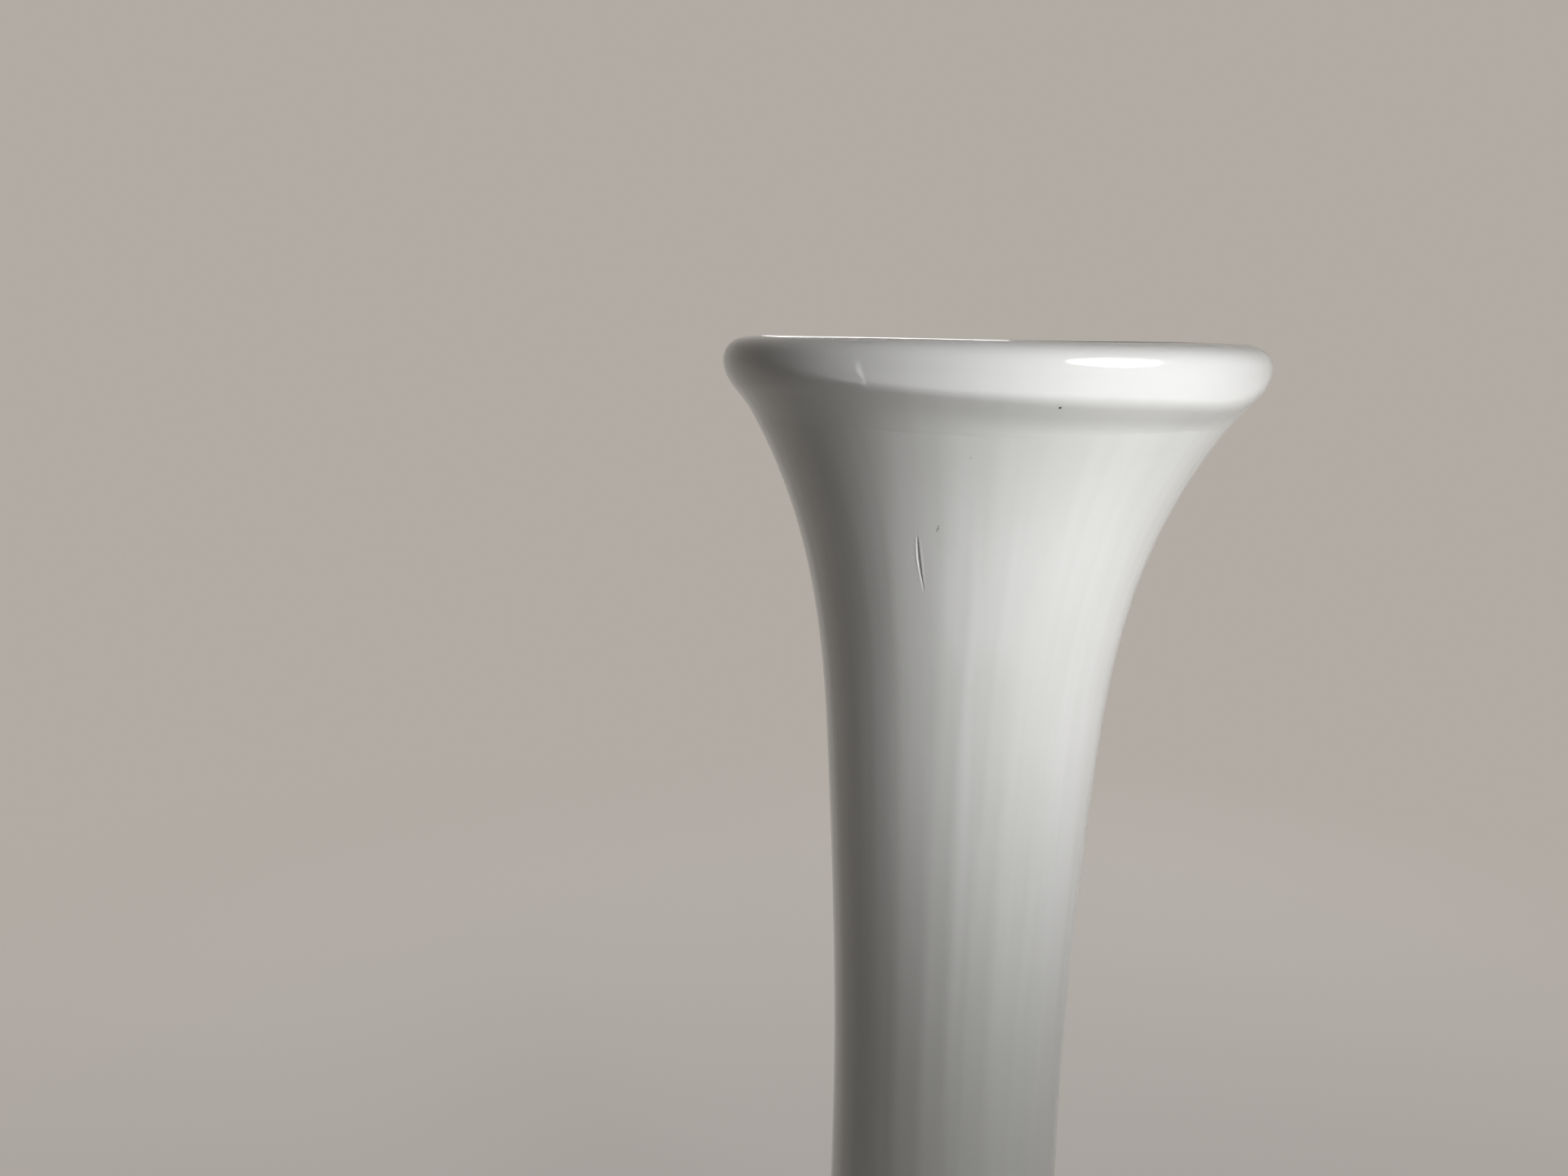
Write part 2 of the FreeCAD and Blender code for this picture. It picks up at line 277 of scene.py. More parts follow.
rows = []
runs = [np.linspace(start, end, count, endpoint=False) for start, end, count in OUTSIDE_RUNS]
for level in np.append(np.concatenate(runs), WALL_END_LEVEL):
    groove = GROOVE_DEPTH * math.exp(-((level - JOINT_LEVEL - GROOVE_LIFT) / GROOVE_WIDTH) ** 2)
    radius = wall_radius(level) + cord_height(level) - needle_cut(level) - groove
    rows.append(ring_points(radius, level, heading, by_hand(NECK_BOW, level)))
rows.append(ring_points(WALL_END_RADIUS, WALL_END_LEVEL, heading))
for level in np.linspace(RIM_LEVEL, WAIST_LEVEL, INSIDE_ROWS):
    ripple = INSIDE_CORDS * cord_height(level) * eased(RIM_LEVEL - level, 0, INSIDE_CORD_RISE)
    rows.append(ring_points(bore_radius(level) + ripple, level, heading, by_hand(NECK_BOW, level)))
for radius, level in lining[1:-1]:
    ripple = INSIDE_CORDS * cord_height(level) * min(1, radius / FLOOR_RADIUS)
    rows.append(ring_points(radius + ripple, level, heading, by_hand(NECK_BOW, level)))
trumpet = turned_piece("blown_trumpet", rows, closed=False)

# The glass: its white, denser in clouds and streaks, thinner between them and thicker in the lip, with
# painted shade that darkens it just under the lip and down the neck
GLASS_WHITE = (0.796, 0.797, 0.783, 1)
GLASS_DENSE = (0.824, 0.825, 0.815, 1)
GLASS_THIN = (0.757, 0.763, 0.744, 1)
GLASS_THICK = (0.782, 0.783, 0.774, 1)
# The darker colour that the painted shade under the lip and down the neck mixes in
GLASS_PAINTED_SHADE = (0.668, 0.673, 0.652, 1)
GLASS_IOR = 1.5
# Clouds, and the streaks and threads that follow the draw: how fine they are, those two round the axis
# and up it, how much they count, and the values between which the glass changes
CLOUD_SCALE = 16
STREAK_SCALE = (7, 7, 5)
STREAK_DETAIL = 1.5
STREAK_SHARE = 1.1
DENSE_VALUES = (0.35, 0.7)
THREAD_SCALE = (13, 13, 9)
THREAD_DETAIL = 0.5
THREAD_SHARE = 0.5
THREAD_VALUES = (0.35, 0.65)
# Levels in metres: where the painted shade under the lip starts and where it is full, where the painted
# shade down the neck starts from above and from below, and where the lip's thick glass starts
UNDER_LIP_SHADE_LEVELS = (0.415, 0.447)
UNDER_LIP_SHADE_SHARE = 0.3
NECK_SHADE_UPPER_LEVELS = (0.37, 0.23)
NECK_SHADE_LOWER_LEVELS = (0.05, 0.16)
NECK_SHADE_SHARE = 0.7
THICK_LEVELS = (0.4535, 0.4592)
# Stones and ash: one cell in a few holds a dark point. Marks that are seen singly have a soft edge, in
# shares of their radius.
STONE = (0.05, 0.045, 0.04, 1)
STONE_SCALE = 70
STONE_EDGE = (0.02, 0.008)
STONE_PICK = (0.9, 0.93)
MARK_EDGE = (1.25, 0.7)
# Marks in the glass: place in metres, radius in metres, how dark
BODY_MARKS = [((-0.01036, -0.05338, 0.42439), 0.00028, 0.35), ((-0.01044, -0.05311, 0.42373), 0.00034, 0.45),
              ((-0.01073, -0.05284, 0.42316), 0.00027, 0.4), ((-0.00326, -0.0626, 0.44251), 0.00022, 0.3),
              ((-0.04994, -0.01666, 0.41559), 0.0005, 0.4)]
# Roughness of the fire-polished glass, and what smears, grain, stones and ground places add
POLISHED = 0.03
SMEAR_SCALE = 34
SMEAR_DETAIL = 4
SMEAR_BREAK = 0.6
SMEAR_VALUES = (0.5, 0.72)
SMEAR_ROUGHNESS = 0.04
GRAIN_SCALE = 420
GRAIN_ROUGHNESS = 0.02
STONE_ROUGHNESS = 0.25
GROUND_ROUGHNESS = 0.5
GROUND_PALENESS = 0.6
# The waviness of the skin: two sizes of it, the threads and the hollows at stones
SKIN_BUMP = 0.35
SKIN_HEIGHT = 0.0002
WIDE_SCALE = 70
WIDE_SHARE = 0.7
NARROW_SCALE = 260
NARROW_SHARE = 0.3
THREAD_RIDGE = 0.8
STONE_HOLLOW = 0.6


class Wire:
    """A socket of a material. Sums with numbers and other wires add the nodes that work them out."""

    def __init__(self, tree, socket=None):
        self.tree = tree
        self.socket = socket

    def node(self, kind, settings, inputs, output=0):
        """Any node: its kind, its settings, what goes into its sockets, and the output that is wanted."""
        made = self.tree.nodes.new("ShaderNode" + kind)
        for name, value in settings.items():
            setattr(made, name, value)
        for name, value in inputs.items():
            if isinstance(value, Wire):
                self.tree.links.new(value.socket, made.inputs[name])
            else:
                made.inputs[name].default_value = value
        return Wire(self.tree, made.outputs[output])

    def other(self, output):
        """Another output of the node that this wire comes from."""
        return Wire(self.tree, self.socket.node.outputs[output])

    def into(self, kind):
        """Make this the surface of the material or the world."""
        end = self.tree.nodes.new("ShaderNodeOutput" + kind)
        self.tree.links.new(self.socket, end.inputs["Surface"])

    def math(self, operation, first, second):
        return self.node("Math", {"operation": operation}, {0: first, 1: second})

    def __add__(self, other):
        return self.math("ADD", self, other)

    __radd__ = __add__

    def __sub__(self, other):
        return self.math("SUBTRACT", self, other)

    def __mul__(self, other):
        return self.math("MULTIPLY", self, other)

    __rmul__ = __mul__

    def vector(self, operation, first, second=(0, 0, 0), output=0):
        return self.node("VectorMath", {"operation": operation}, {0: first, 1: second}, output)

    def mix(self, share, first, second):
        """Two colours mixed by a share."""
        return self.node("Mix", {"data_type": "RGBA"}, {0: share, 6: first, 7: second}, 2)

    def fade(self, value, start, end):
        """From 0 where the value is start to 1 where it is end, with no corner."""
        return self.node("MapRange", {"interpolation_type": "SMOOTHSTEP"}, {"Value": value, 1: start, 2: end})

    def noise(self, place, scale, detail=2, roughness=0.5):
        sockets = {"Vector": place, "Scale": scale, "Detail": detail, "Roughness": roughness}
        return self.node("TexNoise", {}, sockets)


def new_material(name):
    """An empty material, and the wire that its nodes start from."""
    material = bpy.data.materials.new(name)
    material.use_nodes = True
    material.node_tree.nodes.clear()
    return material, Wire(material.node_tree)


def opal_glass(name, marks, drawn=1, ground_places=None):
    """Opaque white glass: cloudy where it is thin, whiter in the thick lip, streaked along the draw, and
    smooth with a few seeds, stones and smears. Painted shade darkens it under the lip and down the neck.
    Ground places are matt."""
    material, wire = new_material(name)
    place = wire.node("TexCoord", {}, {}, "Object")
    facing = wire.vector("NORMALIZE", wire.vector("MULTIPLY", place, (1, 1, 0)))
    along = wire.vector("ADD", facing, wire.vector("MULTIPLY", place, (0, 0, 1)))
    streak = wire.noise(wire.vector("MULTIPLY", along, STREAK_SCALE), 1, STREAK_DETAIL)
    thread = wire.noise(wire.vector("MULTIPLY", along, THREAD_SCALE), 1, THREAD_DETAIL)
    cloud = wire.noise(place, CLOUD_SCALE)
    dense = wire.fade(cloud + (streak - 0.5) * (STREAK_SHARE * drawn), *DENSE_VALUES)
    colour = wire.mix(dense, GLASS_THIN, GLASS_DENSE)
    colour = wire.mix(wire.fade(thread, *THREAD_VALUES) * THREAD_SHARE, colour, GLASS_WHITE)
    level = wire.node("SeparateXYZ", {}, {"Vector": place}, "Z")
    # Painted shade: the glass is darkened just under the lip, where the lip's overhang shades it.
    colour = wire.mix(UNDER_LIP_SHADE_SHARE * wire.fade(level, *UNDER_LIP_SHADE_LEVELS), colour, GLASS_PAINTED_SHADE)
    # Painted shade: the neck is darkened lower down, where the light falls off below the lip.
    neck = wire.fade(level, *NECK_SHADE_UPPER_LEVELS) * wire.fade(level, *NECK_SHADE_LOWER_LEVELS)
    colour = wire.mix(NECK_SHADE_SHARE * neck, colour, GLASS_PAINTED_SHADE)
    colour = wire.mix(wire.fade(level, *THICK_LEVELS), colour, GLASS_THICK)
    cell = wire.node("TexVoronoi", {}, {"Vector": place, "Scale": STONE_SCALE, "Randomness": 1}, "Distance")
    pick = wire.node("SeparateColor", {}, {"Color": cell.other("Color")})
    stone = wire.fade(cell, *STONE_EDGE) * wire.fade(pick, *STONE_PICK)
    for point, radius, dark in marks:
        away = wire.vector("DISTANCE", place, point, "Value")
        mark = wire.fade(away, radius * MARK_EDGE[0], radius * MARK_EDGE[1]) * dark
        stone = wire.math("MAXIMUM", stone, mark)
    colour = wire.mix(stone, colour, STONE)
    smear = wire.fade(wire.noise(place, SMEAR_SCALE, SMEAR_DETAIL, SMEAR_BREAK), *SMEAR_VALUES)
    roughness = POLISHED + SMEAR_ROUGHNESS * smear + GRAIN_ROUGHNESS * wire.noise(place, GRAIN_SCALE)
    roughness = roughness + STONE_ROUGHNESS * stone
    if ground_places:
        ground = ground_places(wire, place)
        colour = wire.mix(ground * GROUND_PALENESS, colour, GLASS_THICK)
        roughness = roughness + GROUND_ROUGHNESS * ground
    skin = WIDE_SHARE * wire.noise(place, WIDE_SCALE) + NARROW_SHARE * wire.noise(place, NARROW_SCALE, 1)
    skin = skin + THREAD_RIDGE * thread - STONE_HOLLOW * stone
    normal = wire.node("Bump", {}, {"Strength": SKIN_BUMP, "Distance": SKIN_HEIGHT, "Height": skin})
    surface = wire.node("BsdfPrincipled", {}, {
        "Base Color": colour, "Roughness": roughness, "Normal": normal, "IOR": GLASS_IOR})
    surface.into("Material")
    return material


trumpet.data.materials.append(opal_glass("opal_glass_drawn", BODY_MARKS))
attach(trumpet, "root")
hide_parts("trumpet_body")


# The lip wrap: a thick trail of the same hot glass, wound once round the rim and worked smooth. It is
# fused to the trumpet, so a soft fillet joins them. Its lower edge wanders with the hand, and left of
# the front the end of the trail laps over its start as a small slanting step.
LIP_RADIUS = 75
LIP_SWELL_DEPTH = 7.2
LIP_CREST_RADIUS = 65
LIP_BORE = 60.8
SHOULDER_SHARES = [(0, 0), (0, 0.6), (0.25, 1), (1, 1)]
CREST_SHARES = [(0, 0), (0.6, 0), (1, 0.45), (1, 1)]
INSIDE_SHARES = [(0, 0), (0, 0.45), (0.5, 0.8), (1, 1)]
# By heading: depth where the face turns under, how softly it turns, depth where it meets the trumpet,
# and how far the face is hollowed above the turn
RIDGE_DEPTH = [(-180, 11.2), (-140, 10.8), (-110, 11.1), (-78, 11), (-60, 10.6), (-45, 9.9), (-36, 10.1),
               (-24, 10.8), (-12, 11.7), (0, 12.4), (12, 13.1), (24, 13.5), (36, 13.9), (48, 14.5),
               (58, 13.7), (70, 11.4), (78, 10.3), (110, 10.6), (145, 11.4), (180, 11.2)]
RIDGE_SOFTNESS = [(-180, 2.4), (-110, 3.4), (-78, 4), (-60, 3.8), (-45, 3), (-36, 2), (-24, 1.3), (-12, 1.2),
                  (0, 1.5), (12, 2), (24, 2.4), (39, 2.6), (50, 2.8), (60, 3), (70, 3.2), (78, 3.2), (110, 3),
                  (145, 2.2), (180, 2.4)]
SEAT_DEPTH = [(-180, 17.6), (-110, 18), (-78, 18.3), (-60, 18.2), (-36, 18.2), (-12, 18.6), (12, 19.4),
              (36, 20), (60, 20.2), (78, 19.6), (110, 18.4), (180, 17.6)]
FACE_HOLLOW = [(-180, 0.1), (-78, 0), (-50, 0.1), (-36, 0.35), (-24, 0.5), (0, 0.5), (39, 0.45), (60, 0.2),
               (78, 0), (180, 0.1)]
HOLLOW_REACH = 5.5
# The lap: its heading at two depths, its step, the degrees over which it rises, dies away and ends, and
# the depths between which it starts and ends
LAP_HEADINGS = [(5, -24.3), (11.6, -22.1)]
LAP_STEP = 0.28
LAP_RISE = (-0.8, 0.7)
LAP_FADE = 8
LAP_REACH = 60
LAP_TOP = (4.5, 8)
LAP_BOTTOM = (9.6, 12)
# The fillet: how far it runs below the seat and how soft it is, how far below the turn the wall starts
# to count, and how deep its end sinks into the wall, from where on
FILLET_RUN = 4.5
FILLET_SOFTNESS = 1.2
WALL_START = 2
FILLET_SINK = 0.15
FILLET_SINK_START = 2.4
# Depths between which the lip starts to follow the bow of the neck
BOW_DEPTHS = (8, 15)
# The crest sinks a little in waves: how many go round, the heading they start from, height
CREST_WAVES = [(2, 40, 0.1), (5, 0, 0.06)]
CREST_SAG = 0.16
# Its edge inside lies over the bore, sinks into the wall and ends there.
EDGE_COVER = 0.1
EDGE_SINK = 0.22
EDGE_SINK_START = 18
EDGE_DEPTHS = (17.6, 18.8, 20, 21.2, 22.4)
BURIED_DEPTHS = (21.4, 21)
UNDER_ROWS = 54
SHOULDER_ROWS = 22
CREST_ROWS = 16
THROAT_ROWS = 14
LIP_SHARP = 60
LIP_MARKS = [((0.01603, -0.07115, 0.45514), 0.00037, 1)]
LIP_DRAWN = 0.2


def lesser(first, second, softness):
    """The smaller of two, rounded where they cross."""
    share = np.clip(0.5 + 0.5 * (second - first) / softness, 0, 1)
    return second * (1 - share) + first * share - softness * share * (1 - share)


ridge = by_hand(RIDGE_DEPTH, heading)
softness = by_hand(RIDGE_SOFTNESS, heading)
seat = by_hand(SEAT_DEPTH, heading)
hollow = by_hand(FACE_HOLLOW, heading)
under_slope = (LIP_RADIUS - wall_radius(TOP - seat)) / (seat - ridge)


def lap_height(depth):
    """The end of the trail, which stands out where it laps over the start."""
    left = by_hand(LAP_HEADINGS, depth) - heading
    rise = eased(left, *LAP_RISE) * np.exp(-np.clip(left, 0, None) / LAP_FADE) * (left < LAP_REACH)
    return LAP_STEP * rise * eased(depth, *LAP_TOP) * (1 - eased(depth, *LAP_BOTTOM))


def face_cut(depth):
    """How much further in the lip's face is above its turn, because it leans out to it."""
    return hollow * eased(ridge - depth, 0, HOLLOW_REACH)


rows = []
for share in np.linspace(0, 1, UNDER_ROWS):
    depth = (seat + FILLET_RUN) * (1 - share) + LIP_SWELL_DEPTH * share
    under = LIP_RADIUS - under_slope * (depth - ridge)
    face = lesser(LIP_RADIUS - face_cut(depth), under, softness)
    wall = wall_radius(TOP - np.maximum(depth, ridge + WALL_START))
    radius = -lesser(-(face + lap_height(depth)), -wall, FILLET_SOFTNESS)
    radius = radius - FILLET_SINK * eased(depth - seat, FILLET_SINK_START, FILLET_RUN)
    bow = by_hand(NECK_BOW, TOP - depth) * eased(depth, *BOW_DEPTHS)
    rows.append(ring_points(np.minimum(radius, LIP_RADIUS), TOP - depth, heading, bow))
sway = CREST_SAG + waves_round(CREST_WAVES, heading)
swell = (LIP_RADIUS, LIP_SWELL_DEPTH)
crest = (LIP_CREST_RADIUS, 0)
bead = (LIP_BORE, LIP_SWELL_DEPTH)
over = np.concatenate([pulled_curve(shared_points(swell, crest, SHOULDER_SHARES), SHOULDER_ROWS)[1:],
                       pulled_curve(shared_points(crest, bead, CREST_SHARES), CREST_ROWS)[1:]])
for radius, depth in over:
    high = 1 - min(depth / LIP_SWELL_DEPTH, 1)
    outer = radius > LIP_CREST_RADIUS
    cut = (face_cut(depth) - lap_height(np.full(len(heading), depth))) * outer * (1 - high ** 2)
    rows.append(ring_points(np.minimum(radius - cut, LIP_RADIUS), TOP - depth - sway * high, heading))
bore_seat = (RIM_RADIUS - RIM_WALL - EDGE_COVER, TOP - RIM_LEVEL)
for radius, depth in pulled_curve(shared_points(bead, bore_seat, INSIDE_SHARES), THROAT_ROWS)[1:]:
    rows.append(ring_points(radius, TOP - depth, heading))
for depth in EDGE_DEPTHS:
    sunk = EDGE_SINK * eased(depth, EDGE_SINK_START, EDGE_DEPTHS[-1])
    radius = bore_radius(TOP - depth) - EDGE_COVER + sunk
    rows.append(ring_points(radius, TOP - depth, heading, by_hand(NECK_BOW, TOP - depth)))
for depth in BURIED_DEPTHS:
    radius = (wall_radius(TOP - depth) + bore_radius(TOP - depth)) / 2
    rows.append(ring_points(radius, TOP - depth, heading))
lip = turned_piece("wound_lip", rows, closed=True, sharp=LIP_SHARP)
lip.data.materials.append(opal_glass("opal_glass_wound", LIP_MARKS, LIP_DRAWN))
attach(lip, "root")
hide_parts("lip_wrap")


# The foot: a disc of the same glass, dropped on the base while hot and pressed out, with a fire-polished
# edge. The punty iron was cut off in the middle of its hollow underside, and the scar is ground to a
# matt dish. The flat ring round the hollow is scuffed from standing.
FOOT_RADIUS = 60
FOOT_EDGE = 7
RING_LEVEL = 1.8
RING_RADIUS = 56.5
RING_BORE = 44
RING_ROWS = (45, 50, 55.5)
HOLLOW_RISE = 3
DISH_RADIUS = 12
DISH_DEPTH = 1.2
DISH_MIDDLE = 0.4
HOLLOW_SHARES = [(0, 0), (0.3, 0.9), (0.6, 1), (1, 1)]
EDGE_SHARES = [(0, 0), (0, 0.55), (0.45, 1), (1, 1)]
SWEEP_SHARES = [(0, 0), (0.5, 0), (0.92, 0.35), (1, 1)]
# Its top ends inside the trumpet, this far in from its outside and above the joint.
ROOT_INSET = 1.5
ROOT_RISE = 0.3
# The edge wanders in and droops: how many waves go round, the heading they start from and their height,
# then the radii and levels between which they rise
EDGE_WAVES = [(3, 25, 0.16), (7, -50, 0.096)]
EDGE_INSET = 0.256
EDGE_RADII = (50, 58)
EDGE_LEVELS = (RING_LEVEL, RING_LEVEL + 1)
DROOP_WAVES = [(2, 110, 0.1)]
DROOP_SAG = 0.1
DROOP_RADII = (49, 56)
DROOP_LEVELS = (6, 9)
FOOT_HEADINGS = 240
DISH_ROWS = 20
HOLLOW_ROWS = 30
EDGE_ROWS = 16
SWEEP_ROWS = 24

round_foot = np.linspace(-180, 180, FOOT_HEADINGS, endpoint=False)
ring_edge = (RING_BORE, RING_LEVEL)
dish_edge = (DISH_RADIUS, RING_LEVEL + HOLLOW_RISE)
dish_middle = (DISH_MIDDLE, RING_LEVEL + HOLLOW_RISE + DISH_DEPTH)
edge_bottom = (RING_RADIUS, RING_LEVEL)
edge_middle = (FOOT_RADIUS, RING_LEVEL + FOOT_EDGE / 2)
edge_top = (RING_RADIUS, RING_LEVEL + FOOT_EDGE)
root_level = JOINT_LEVEL + ROOT_RISE
profile = np.concatenate([
    pulled_curve(shared_points(dish_edge, dish_middle, HOLLOW_SHARES), DISH_ROWS)[::-1],
    pulled_curve(shared_points(ring_edge, dish_edge, HOLLOW_SHARES), HOLLOW_ROWS)[::-1][1:],
    [(radius, RING_LEVEL) for radius in RING_ROWS],
    pulled_curve(shared_points(edge_middle, edge_bottom, EDGE_SHARES), EDGE_ROWS)[::-1],
    pulled_curve(shared_points(edge_middle, edge_top, EDGE_SHARES), EDGE_ROWS)[1:],
    pulled_curve(shared_points(edge_top, (BASE_RADIUS, JOINT_LEVEL), SWEEP_SHARES), SWEEP_ROWS)[1:],
    [(BASE_RADIUS - ROOT_INSET, root_level), (BASE_RADIUS / 2, root_level)]])
wander = waves_round(EDGE_WAVES, round_foot) - EDGE_INSET
droop = waves_round(DROOP_WAVES, round_foot) - DROOP_SAG
rows = []
for radius, level in profile:
    outer = eased(radius, *EDGE_RADII) * eased(level, *EDGE_LEVELS)
    upper = eased(radius, *DROOP_RADII) * eased(level, *DROOP_LEVELS)
    rows.append(ring_points(radius + wander * outer, level + droop * upper, round_foot))
foot = turned_piece("pressed_foot", rows, closed=False)

# The ground dish: its edge, and the levels that part it from the glass above, in metres
DISH_EDGE = (0.0122, 0.0117)
DISH_LEVELS = (0.0068, 0.0062)
# The scuffs: the worn patches, the levels over which they fade, and the fine hairs in them
WORN_SCALE = 95
WORN_DETAIL = 3
WORN_BREAK = 0.6
WORN_VALUES = (0.48, 0.62)
WORN_LEVELS = (0.0022, 0.0019)
HAIR_SCALE = 1400
HAIR_DETAIL = 3
HAIR_VALUES = (0.45, 0.7)
SCUFF_SHARE = 0.8


def ground_and_scuffed(wire, place):
    """The ground punty dish, and the fine marks that turning on a table leaves under the foot."""
    flat = wire.vector("LENGTH", wire.vector("MULTIPLY", place, (1, 1, 0)), output="Value")
    level = wire.node("SeparateXYZ", {}, {"Vector": place}, "Z")
    dish = wire.fade(flat, *DISH_EDGE) * wire.fade(level, *DISH_LEVELS)
    worn = wire.fade(wire.noise(place, WORN_SCALE, WORN_DETAIL, WORN_BREAK), *WORN_VALUES)
    hair = wire.fade(wire.noise(place, HAIR_SCALE, HAIR_DETAIL), *HAIR_VALUES)
    scuff = SCUFF_SHARE * worn * wire.fade(level, *WORN_LEVELS) * hair
    return wire.math("MAXIMUM", dish, scuff)


foot.data.materials.append(opal_glass("opal_glass_pressed", [], 0, ground_and_scuffed))
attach(foot, "root")
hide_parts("foot")


# Four clear bumpers: soft polyurethane drops, cast flat on their adhesive side, stuck to the ring of the
# foot so that the glass doesn't slide or ring on a table. They have yellowed a little and hold lint.
BUMPER_CLEAR = (0.86, 0.87, 0.83, 1)
BUMPER_YELLOWED = (0.8, 0.79, 0.7, 1)
BUMPER_IOR = 1.49
BUMPER_SEE_THROUGH = 0.75
BUMPER_ROUGHNESS = 0.22
YELLOWED_SCALE = 160
LINT_SCALE = 900
LINT_DETAIL = 3
LINT_VALUES = (0.55, 0.75)
LINT_ROUGHNESS = 0.3
LINT_BUMP = 0.3
LINT_HEIGHT = 0.0001

rubber, wire = new_material("clear_polyurethane")
place = wire.node("TexCoord", {}, {}, "Object")
yellowed = wire.mix(wire.noise(place, YELLOWED_SCALE), BUMPER_CLEAR, BUMPER_YELLOWED)
lint = wire.fade(wire.noise(place, LINT_SCALE, LINT_DETAIL), *LINT_VALUES)
normal = wire.node("Bump", {}, {"Strength": LINT_BUMP, "Distance": LINT_HEIGHT, "Height": lint})
surface = wire.node("BsdfPrincipled", {}, {
    "Base Color": yellowed, "Roughness": BUMPER_ROUGHNESS + LINT_ROUGHNESS * lint, "IOR": BUMPER_IOR,
    "Transmission Weight": BUMPER_SEE_THROUGH, "Normal": normal})
surface.into("Material")
for name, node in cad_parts.items():
    if name.startswith("bumper"):
        node.data.materials.clear()
        node.data.materials.append(rubber)


# The stage: a pale floor that fades into a plain backdrop of one colour, so that no line shows behind.
# What the camera sees, straight or by way of a mirror or clear glass, is the backdrop's own colour, and
# the rest of the light from the world is dim.
BACKDROP = (0.442, 0.41, 0.373, 1)
FLOOR = (0.8, 0.785, 0.765, 1)
FLOOR_ROUGHNESS = 0.85
FLOOR_REACH = 8
# The share of the backdrop's colour on the floor near the vase, and the distances over which it takes over
NEAR_BACKDROP = 0.55
FADE_DISTANCES = (0.1, 1)
AMBIENT = (0.021, 0.0195, 0.018, 1)


def seen_rays(wire):
    """1 for rays from the camera, also by way of a mirror or clear glass, and 0 for the rest."""
    rays = wire.node("LightPath", {}, {}, "Is Camera Ray")
    return wire.math("MINIMUM", rays + rays.other("Is Glossy Ray") + rays.other("Is Transmission Ray"), 1)


mesh = bpy.data.meshes.new("floor")
mesh.from_pydata([(-FLOOR_REACH, -FLOOR_REACH, 0), (FLOOR_REACH, -FLOOR_REACH, 0),
                  (FLOOR_REACH, FLOOR_REACH, 0), (-FLOOR_REACH, FLOOR_REACH, 0)], [], [(0, 1, 2, 3)])
floor = bpy.data.objects.new("floor", mesh)
bpy.context.scene.collection.objects.link(floor)
floor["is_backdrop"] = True
pale, wire = new_material("pale_floor")
away = wire.vector("LENGTH", wire.node("TexCoord", {}, {}, "Object"), output="Value")
share = NEAR_BACKDROP + (1 - NEAR_BACKDROP) * wire.fade(away, *FADE_DISTANCES)
matt = wire.node("BsdfPrincipled", {}, {"Base Color": FLOOR, "Roughness": FLOOR_ROUGHNESS})
glow = wire.node("Emission", {}, {"Color": BACKDROP, "Strength": 1})
both = wire.node("MixShader", {}, {0: seen_rays(wire) * share, 1: matt, 2: glow})
both.into("Material")
floor.data.materials.append(pale)

world = bpy.data.worlds.new("plain_studio")
bpy.context.scene.world = world
world.use_nodes = True
world.node_tree.nodes.clear()
wire = Wire(world.node_tree)
dim = wire.node("Background", {}, {"Color": AMBIENT, "Strength": 1})
plain = wire.node("Background", {}, {"Color": BACKDROP, "Strength": 1})
both = wire.node("MixShader", {}, {0: seen_rays(wire), 1: dim, 2: plain})
both.into("World")


def soft_lamp(name, turn, distance, level, aim, size, brightness, grid=180, shape="RECTANGLE",
              lights=True, shows=True):
    """A soft lamp by its heading, its distance from the axis and its level, in metres, and the point it
    faces. Its size is width and height, and its grid holds the light within an angle."""
    lamp = bpy.data.lights.new(name, "AREA")
    lamp.shape, lamp.size, lamp.size_y = shape, *size
    area = size[0] * size[1] * (math.pi / 4 if shape == "ELLIPSE" else 1)
    lamp.energy = brightness * math.pi * area
    lamp.spread = math.radians(grid)
    stand = bpy.data.objects.new(name, lamp)
    bpy.context.scene.collection.objects.link(stand)
    turn = math.radians(turn)
    stand.location = (distance * math.sin(turn), -distance * math.cos(turn), level)
    back = stand.location - Vector(aim)
    stand.rotation_mode = "QUATERNION"
    stand.rotation_quaternion = back.to_track_quat("Z", "Y")
    stand.visible_camera = False
    stand.visible_diffuse = lights
    stand.visible_glossy = shows
    return stand


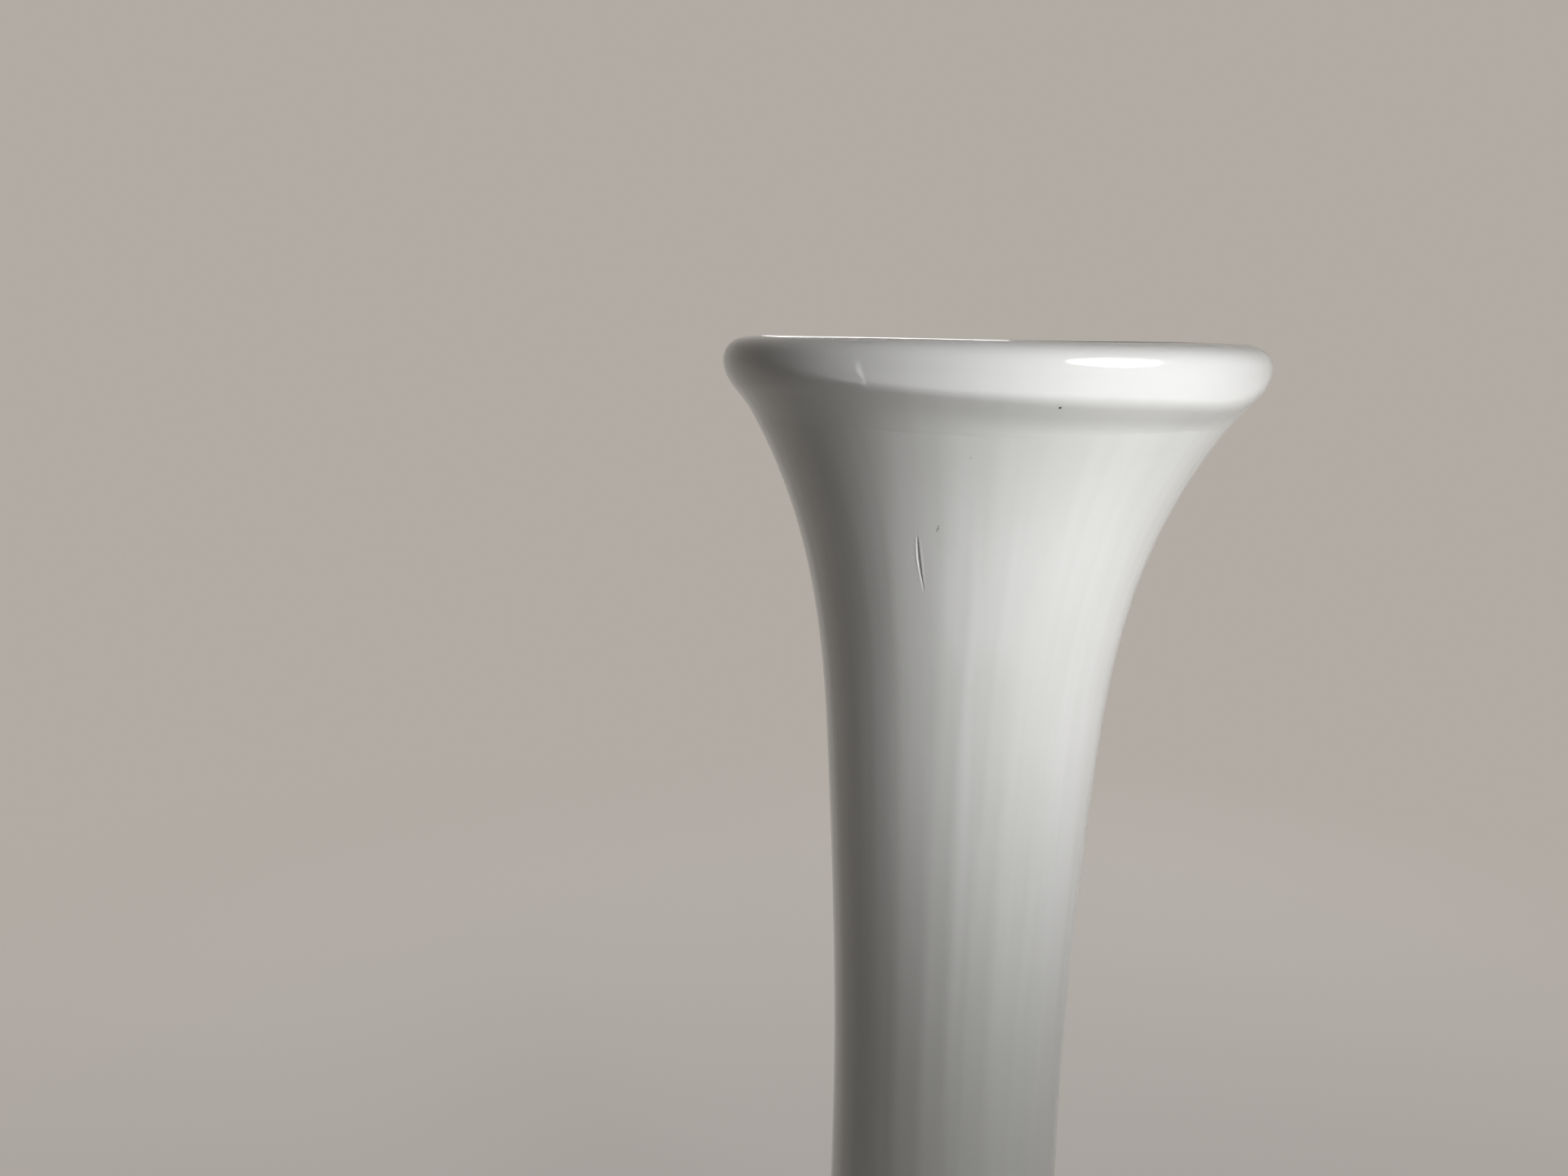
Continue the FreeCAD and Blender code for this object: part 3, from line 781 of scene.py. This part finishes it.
# Soft boxes with grids stand at the right of the front: one faced past the glass so that its beam thins out
# to the right, one lower and further round, and a weak one for the foot half. Two without stand behind, the
# left one a little warm. These only light the glass.
soft_lamp("front_box", turn=36.6, distance=0.42, level=0.535, aim=(-0.069, -0.05, 0.425), size=(0.17, 0.17),
          brightness=2.03, grid=54, shows=False)
soft_lamp("side_box", turn=70, distance=0.45, level=0.3, aim=(-0.01, -0.028, 0.435), size=(0.2, 0.2),
          brightness=0.95, grid=74, shows=False)
soft_lamp("low_box", turn=40, distance=0.75, level=0.14, aim=(0, 0, 0.02), size=(0.34, 0.34),
          brightness=0.34, grid=38, shows=False)
left = soft_lamp("left_box", turn=-134, distance=0.9, level=0.45, aim=(0, 0, 0.35), size=(0.5, 0.5),
                 brightness=2.3, shows=False)
left.data.color = (1, 0.965, 0.925)
soft_lamp("rear_box", turn=165, distance=1.2, level=0.5, aim=(0, 0, 0.25), size=(0.6, 0.6),
          brightness=6, shows=False)
# Two more only show, as a gleam on the lip and a line of light on its crest.
soft_lamp("gleam_box", turn=49.5, distance=0.42, level=0.672, aim=(0, 0, 0.45), size=(0.31, 0.25),
          brightness=8, shape="ELLIPSE", lights=False)
soft_lamp("crest_box", turn=186, distance=1.2, level=0.62, aim=(0, 0, 0.47), size=(0.32, 0.2),
          brightness=1.9, lights=False)


# The camera: a phone held level with the lip, a forearm away. It is turned to the left, tipped down and
# leant over a little, in degrees.
CAMERA_PLACE = (-0.0021, -0.3445, 0.47)
CAMERA_TURN = 9.12
CAMERA_TIP = 12.1
CAMERA_LEAN = 0.97
CAMERA_LENS = 27.04
CAMERA_SENSOR = 36
CAMERA_NEAR = 0.02

camera = bpy.data.objects.new("camera", bpy.data.cameras.new("camera"))
bpy.context.scene.collection.objects.link(camera)
camera.data.sensor_width = CAMERA_SENSOR
camera.data.lens = CAMERA_LENS
camera.data.clip_start = CAMERA_NEAR
turned = Matrix.Rotation(math.radians(CAMERA_TURN), 4, "Z")
tipped = Matrix.Rotation(math.radians(90 - CAMERA_TIP), 4, "X")
leant = Matrix.Rotation(math.radians(CAMERA_LEAN), 4, "Z")
camera.matrix_world = Matrix.Translation(CAMERA_PLACE) @ turned @ tipped @ leant
bpy.context.scene.camera = camera
bpy.context.scene.view_settings.view_transform = "Standard"

low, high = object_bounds()
